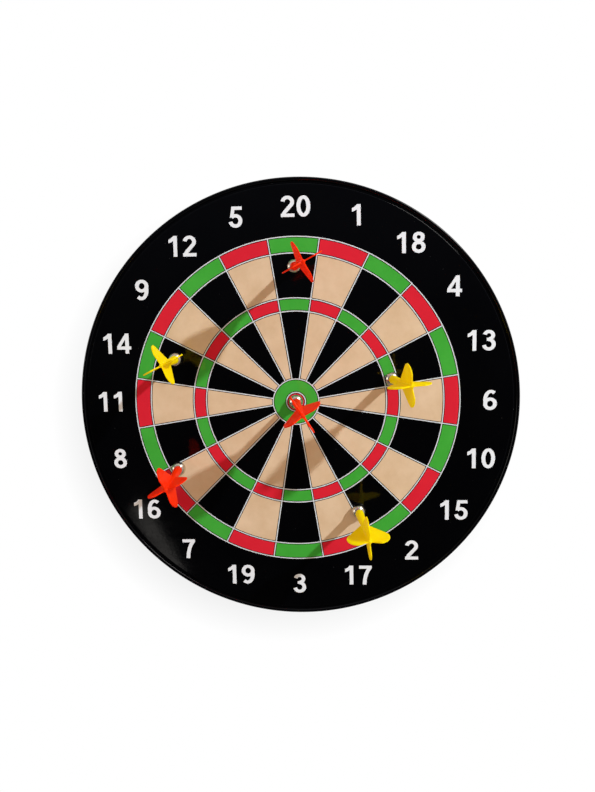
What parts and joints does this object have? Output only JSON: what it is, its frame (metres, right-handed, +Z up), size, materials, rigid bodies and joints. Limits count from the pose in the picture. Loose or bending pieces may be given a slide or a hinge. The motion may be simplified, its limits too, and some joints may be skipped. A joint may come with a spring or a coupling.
{
  "type": "magnetic dartboard",
  "caption": "Round wall-hung magnetic dartboard of pressed steel with a printed playing field, a keyhole hanger behind, and magnetic darts that pull off its face.",
  "frame": {"origin": "middle of the back panel's rear face, on the board's axis", "axes": "+Z up, the printed face looks along -Y, +X to the right of someone facing it"},
  "size_m": [0.3999, 0.098, 0.4],
  "materials": {
    "black_enamel": "gloss enamel with printed playing field",
    "fibreboard": "pressed fibre",
    "hardboard": "smooth pressed hardboard",
    "zinc_steel": "zinc plated",
    "rivet_steel": "satin",
    "foam_rubber": "matte",
    "nickel": "polished nickel plate",
    "magnet": "nickel plated",
    "red_plastic": "moulded, semi-gloss",
    "yellow_plastic": "moulded, semi-gloss"
  },
  "bodies": {
    "board": {"face_panel": "black_enamel", "core_disc": "fibreboard", "back_panel": "hardboard", "hanger_plate": "zinc_steel", "hanger_rivets": "rivet_steel", "wall_pads": "foam_rubber"},
    "dart_red_1": {"dart_red_1_nose": "nickel", "dart_red_1_magnet": "magnet", "dart_red_1_body": "red_plastic"},
    "dart_red_2": {"dart_red_2_nose": "nickel", "dart_red_2_magnet": "magnet", "dart_red_2_body": "red_plastic"},
    "dart_red_3": {"dart_red_3_nose": "nickel", "dart_red_3_magnet": "magnet", "dart_red_3_body": "red_plastic"},
    "dart_yellow_1": {"dart_yellow_1_nose": "nickel", "dart_yellow_1_magnet": "magnet", "dart_yellow_1_body": "yellow_plastic"},
    "dart_yellow_2": {"dart_yellow_2_nose": "nickel", "dart_yellow_2_magnet": "magnet", "dart_yellow_2_body": "yellow_plastic"},
    "dart_yellow_3": {"dart_yellow_3_nose": "nickel", "dart_yellow_3_magnet": "magnet", "dart_yellow_3_body": "yellow_plastic"}
  },
  "joints": [
    {"name": "dart_red_1_pull", "type": "slide", "parent": "board", "child": "dart_red_1", "axis": [0, -1, 0], "range_m": [0, 0.1]},
    {"name": "dart_red_2_pull", "type": "slide", "parent": "board", "child": "dart_red_2", "axis": [0, -1, 0], "range_m": [0, 0.1]},
    {"name": "dart_red_3_pull", "type": "slide", "parent": "board", "child": "dart_red_3", "axis": [0, -1, 0], "range_m": [0, 0.1]},
    {"name": "dart_yellow_1_pull", "type": "slide", "parent": "board", "child": "dart_yellow_1", "axis": [0, -1, 0], "range_m": [0, 0.1]},
    {"name": "dart_yellow_2_pull", "type": "slide", "parent": "board", "child": "dart_yellow_2", "axis": [0, -1, 0], "range_m": [0, 0.1]},
    {"name": "dart_yellow_3_pull", "type": "slide", "parent": "board", "child": "dart_yellow_3", "axis": [0, -1, 0], "range_m": [0, 0.1]}
  ]
}
